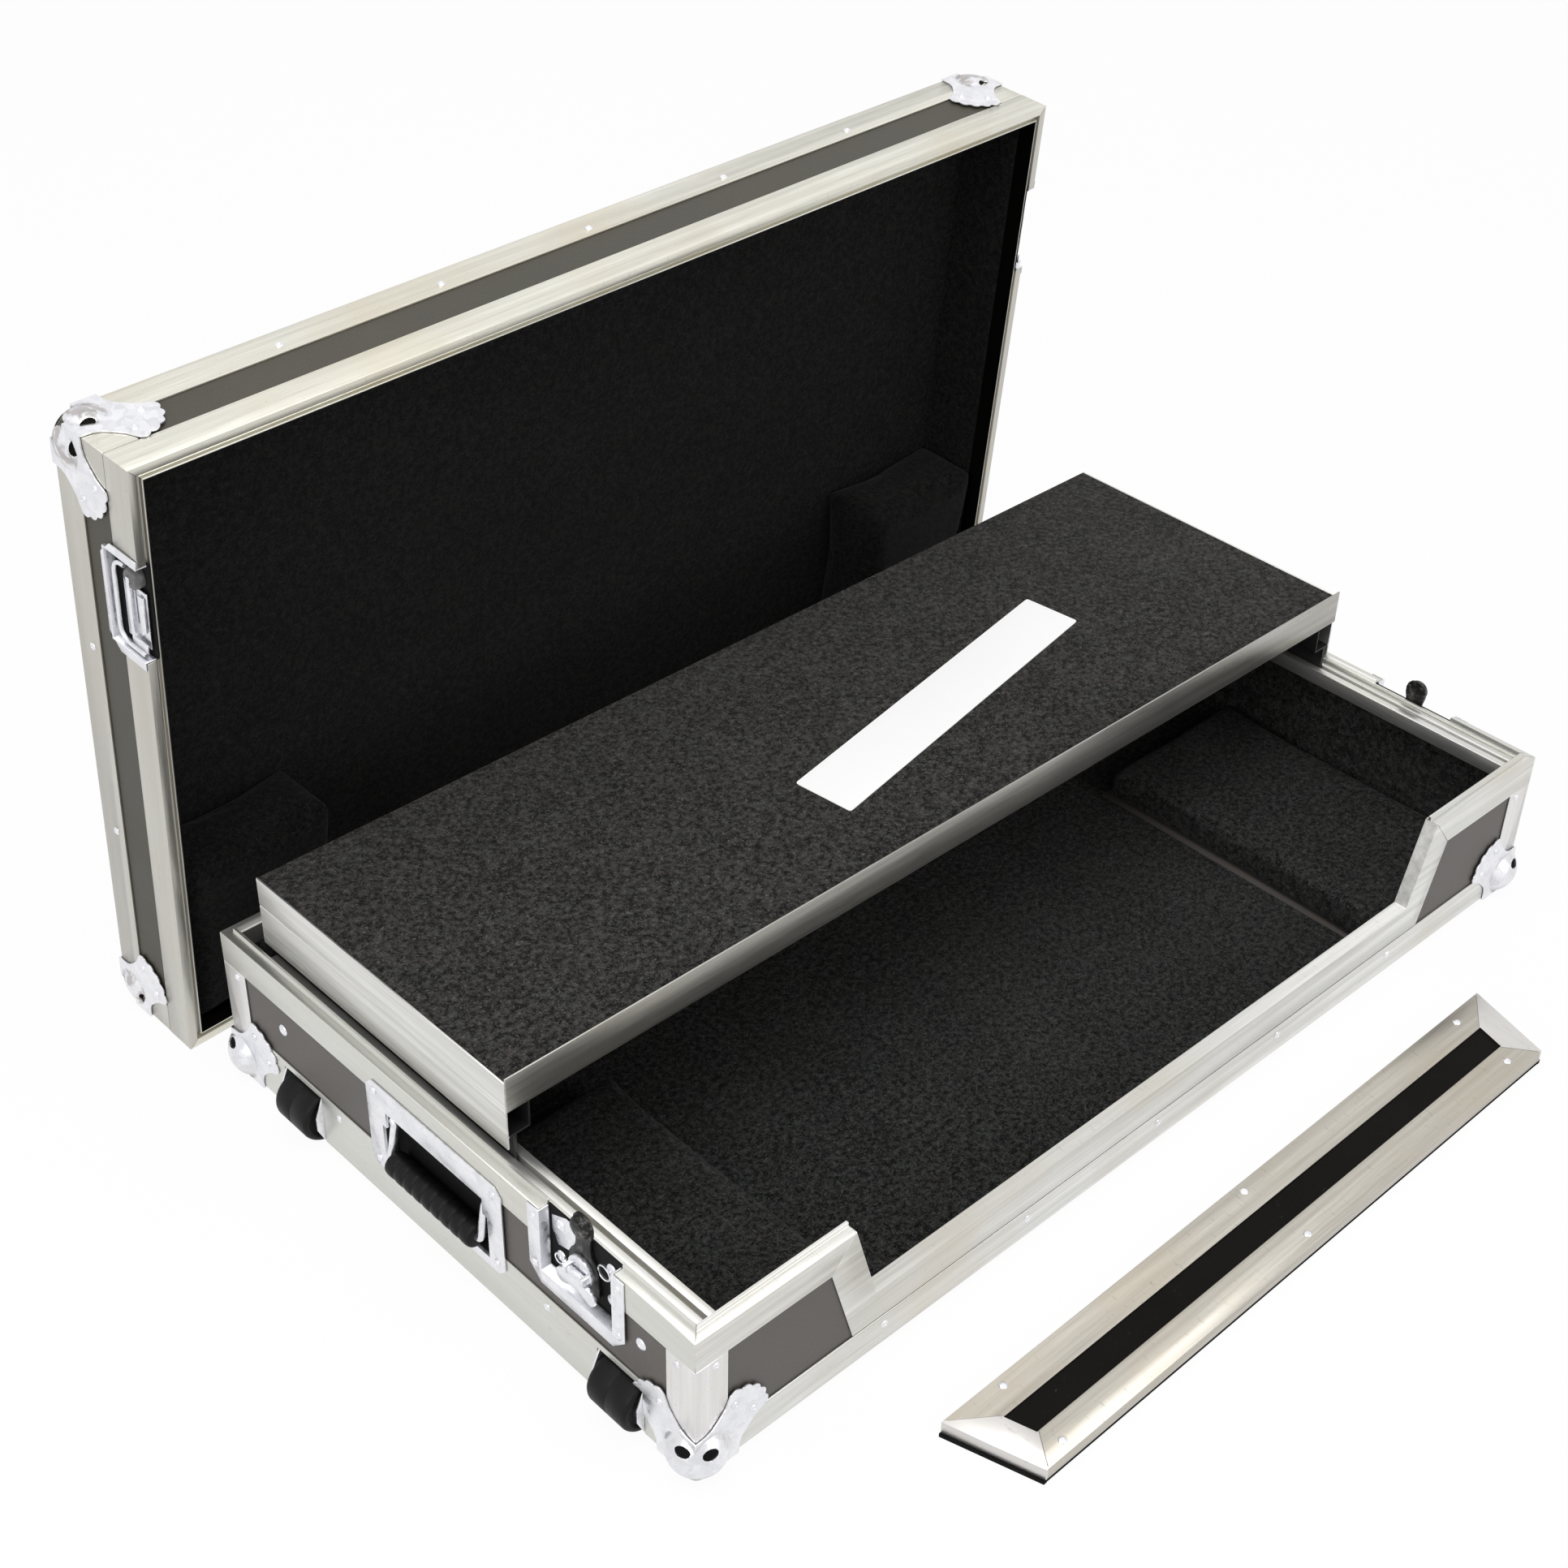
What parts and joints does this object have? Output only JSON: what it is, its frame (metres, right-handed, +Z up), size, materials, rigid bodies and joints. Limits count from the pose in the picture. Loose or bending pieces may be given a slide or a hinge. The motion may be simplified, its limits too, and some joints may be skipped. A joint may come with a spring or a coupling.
{
  "type": "dj flight case",
  "caption": "Flight case for a DJ controller, shown open, with a sliding laptop shelf, a lift-off lid and a removable front panel.",
  "frame": {"origin": "middle of the footprint of everything shown (base, lid set down behind it and panel set down before it), on the floor", "axes": "+X to the right seen from the front, along the case's width; +Y to the rear; +Z up"},
  "size_m": [0.9684, 0.859, 0.5421],
  "materials": {
    "aluminium": "satin",
    "zinc_plated_steel": "bright zinc plate",
    "dark_steel": "satin",
    "laminated_plywood": "dark laminate on plywood",
    "carpet": "needle felt carpet",
    "carpeted_foam": "carpet over foam",
    "rubber": "matt",
    "foam": "closed-cell foam"
  },
  "bodies": {
    "base": {"base_floor_board": "laminated_plywood", "base_front_wall": "laminated_plywood", "base_back_wall": "laminated_plywood", "base_left_wall": "laminated_plywood", "base_right_wall": "laminated_plywood", "base_bottom_edging": "aluminium", "base_corner_angle_front_left": "aluminium", "base_corner_angle_front_right": "aluminium", "base_corner_angle_rear_right": "aluminium", "base_corner_angle_rear_left": "aluminium", "base_ball_corner_front_left": "zinc_plated_steel", "base_ball_corner_front_right": "zinc_plated_steel", "base_ball_corner_rear_right": "zinc_plated_steel", "base_ball_corner_rear_left": "zinc_plated_steel", "base_rim": "aluminium", "front_cutout_trim": "aluminium", "tray_carpet": "carpet", "left_tray_pad": "carpeted_foam", "right_tray_pad": "carpeted_foam", "left_guide_rail": "aluminium", "right_guide_rail": "aluminium", "left_handle_dish": "zinc_plated_steel", "right_handle_dish": "zinc_plated_steel", "left_latch_dish": "zinc_plated_steel", "right_latch_dish": "zinc_plated_steel", "front_wheel_housing": "zinc_plated_steel", "rear_wheel_housing": "zinc_plated_steel"},
    "shelf": {"shelf_board": "laminated_plywood", "shelf_carpet": "carpet", "shelf_front_lip": "aluminium", "left_shelf_runner": "aluminium", "right_shelf_runner": "aluminium"},
    "front_panel": {"front_panel_board": "laminated_plywood", "front_panel_trim": "aluminium", "front_panel_seal": "foam"},
    "lid": {"lid_top_panel": "laminated_plywood", "lid_wall_frame": "laminated_plywood", "lid_rim": "aluminium", "lid_edging": "aluminium", "lid_ball_corner_front_left": "zinc_plated_steel", "lid_ball_corner_front_right": "zinc_plated_steel", "lid_ball_corner_rear_right": "zinc_plated_steel", "lid_ball_corner_rear_left": "zinc_plated_steel", "left_keeper_dish": "zinc_plated_steel", "right_keeper_dish": "zinc_plated_steel", "lid_carpet": "carpet", "left_lid_block": "carpeted_foam", "right_lid_block": "carpeted_foam"},
    "front_wheel_body": {"front_wheel": "rubber"},
    "rear_wheel_body": {"rear_wheel": "rubber"},
    "left_handle": {"left_handle_bail": "zinc_plated_steel", "left_handle_grip": "rubber"},
    "right_handle": {"right_handle_bail": "zinc_plated_steel", "right_handle_grip": "rubber"},
    "left_cam": {"left_latch_cam": "zinc_plated_steel"},
    "right_cam": {"right_latch_cam": "zinc_plated_steel"},
    "left_wing": {"left_latch_wing": "zinc_plated_steel"},
    "right_wing": {"right_latch_wing": "zinc_plated_steel"},
    "left_hook": {"left_latch_hook": "dark_steel"},
    "right_hook": {"right_latch_hook": "dark_steel"}
  },
  "joints": [
    {"name": "shelf_slide", "type": "slide", "parent": "base", "child": "shelf", "axis": [0, -1, 0], "range_m": [0, 0.185]},
    {"name": "lid_lift", "type": "slide", "parent": "base", "child": "lid", "axis": [0, 0, 1], "range_m": [0, 0.5]},
    {"name": "front_panel_lift", "type": "slide", "parent": "base", "child": "front_panel", "axis": [0, 0, 1], "range_m": [0, 0.4]},
    {"name": "front_wheel_spin", "type": "hinge", "parent": "base", "child": "front_wheel_body", "pos_m": [-0.45076, -0.20341, 0.0246], "axis": [0, 1, 0], "continuous": true},
    {"name": "rear_wheel_spin", "type": "hinge", "parent": "base", "child": "rear_wheel_body", "pos_m": [-0.45076, 0.16059, 0.0246], "axis": [0, 1, 0], "continuous": true},
    {"name": "left_handle_swing", "type": "hinge", "parent": "base", "child": "left_handle", "pos_m": [-0.45376, -0.0064, 0.0906], "axis": [0, 1, 0], "range_deg": [0, 80], "stiffness_Nm_per_rad": 0.15, "springref_deg": -17.19},
    {"name": "right_handle_swing", "type": "hinge", "parent": "base", "child": "right_handle", "pos_m": [0.46824, -0.0064, 0.0906], "axis": [0, -1, 0], "range_deg": [0, 80], "stiffness_Nm_per_rad": 0.15, "springref_deg": -17.19},
    {"name": "left_latch_turn", "type": "hinge", "parent": "base", "child": "left_cam", "pos_m": [-0.45776, -0.1614, 0.1066], "axis": [-1, 0, 0], "range_deg": [0, 180]},
    {"name": "right_latch_turn", "type": "hinge", "parent": "base", "child": "right_cam", "pos_m": [0.47224, -0.1614, 0.1066], "axis": [1, 0, 0], "range_deg": [0, 180]},
    {"name": "left_wing_fold", "type": "hinge", "parent": "left_cam", "child": "left_wing", "pos_m": [-0.45846, -0.1614, 0.1066], "axis": [0, 1, 0], "range_deg": [0, 90]},
    {"name": "right_wing_fold", "type": "hinge", "parent": "right_cam", "child": "right_wing", "pos_m": [0.47294, -0.1614, 0.1066], "axis": [0, -1, 0], "range_deg": [0, 90]},
    {"name": "left_hook_slide", "type": "slide", "parent": "base", "child": "left_hook", "axis": [0, 0, -1], "range_m": [0, 0.009]},
    {"name": "right_hook_slide", "type": "slide", "parent": "base", "child": "right_hook", "axis": [0, 0, -1], "range_m": [0, 0.009]}
  ],
  "couplings": [
    {"joint": "left_hook_slide", "follows": "left_latch_turn", "m_per_rad": 0.00286},
    {"joint": "right_hook_slide", "follows": "right_latch_turn", "m_per_rad": 0.00286}
  ]
}
